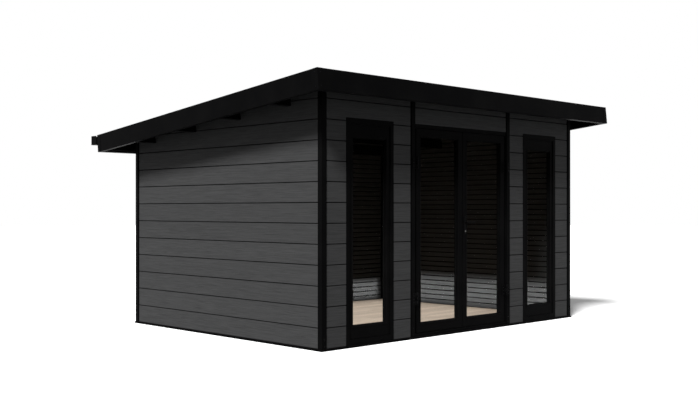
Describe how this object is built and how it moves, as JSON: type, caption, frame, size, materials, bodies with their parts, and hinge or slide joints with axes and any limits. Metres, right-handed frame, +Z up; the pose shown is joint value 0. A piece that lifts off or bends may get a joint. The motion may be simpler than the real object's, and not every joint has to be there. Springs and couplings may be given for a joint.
{
  "type": "garden shed",
  "caption": "Plank-walled garden shed with a single-pitch overhanging roof, outward-opening glazed double doors, tall side windows and a rear gutter.",
  "frame": {"origin": "on the ground at the middle of the footprint that the posts enclose", "axes": "+Z up, the front with the doors faces -Y, +X to the right seen from the front"},
  "size_m": [4.668, 3.8508, 2.5062],
  "materials": {
    "cladding": "matt composite planks with embossed grain",
    "black_aluminium": "satin black powder coat",
    "black_steel": "satin black powder coat",
    "floor_wood": "pale oiled boards",
    "roof_board": "black stained underside",
    "black_rubber": "matt black rubber",
    "glazing": "clear double glazing",
    "lock_steel": "satin"
  },
  "bodies": {
    "shed": {"base_frame": "black_aluminium", "corner_post_front_left": "black_aluminium", "corner_post_front_right": "black_aluminium", "corner_post_back_left": "black_aluminium", "corner_post_back_right": "black_aluminium", "door_post_left": "black_aluminium", "door_post_right": "black_aluminium", "back_wall_post": "black_aluminium", "window_frame_left": "black_aluminium", "window_sash_left": "black_aluminium", "window_frame_right": "black_aluminium", "window_sash_right": "black_aluminium", "door_frame": "black_aluminium", "door_threshold": "black_aluminium", "fascia_front": "black_aluminium", "fascia_back": "black_aluminium", "fascia_left": "black_aluminium", "fascia_right": "black_aluminium", "fascia_corners": "black_aluminium", "gutter_floor": "black_aluminium", "gutter_high_wall": "black_aluminium", "gutter_low_wall": "black_aluminium", "gutter_end_left": "black_aluminium", "gutter_end_right": "black_aluminium", "gutter_brackets": "black_aluminium", "gutter_outlet": "black_aluminium", "hinge_plates": "black_steel", "purlin_1": "black_steel", "purlin_2": "black_steel", "purlin_3": "black_steel", "purlin_4": "black_steel", "edge_purlins": "black_steel", "left_wall": "cladding", "right_wall": "cladding", "back_wall_left": "cladding", "back_wall_right": "cladding", "front_wall_left": "cladding", "front_wall_right": "cladding", "front_header_left": "cladding", "front_header_right": "cladding", "front_header_door": "cladding", "floor_deck": "floor_wood", "roof_deck": "roof_board", "roof_cover": "black_rubber", "window_glass_left": "glazing", "window_glass_right": "glazing"},
    "left_door": {"door_leaf_left": "black_aluminium", "door_glass_left": "glazing", "hinge_straps_left": "black_steel"},
    "right_door": {"door_leaf_right": "black_aluminium", "door_glass_right": "glazing", "hinge_straps_right": "black_steel", "handle_plates": "black_steel", "lock_cylinder": "lock_steel", "lever_handle": "black_steel"}
  },
  "joints": [
    {"name": "left_door_hinge", "type": "hinge", "parent": "shed", "child": "left_door", "pos_m": [-0.738, -1.574, 1.1], "axis": [0, 0, -1], "range_deg": [0, 110]},
    {"name": "right_door_hinge", "type": "hinge", "parent": "shed", "child": "right_door", "pos_m": [0.738, -1.574, 1.1], "axis": [0, 0, 1], "range_deg": [0, 110]}
  ]
}
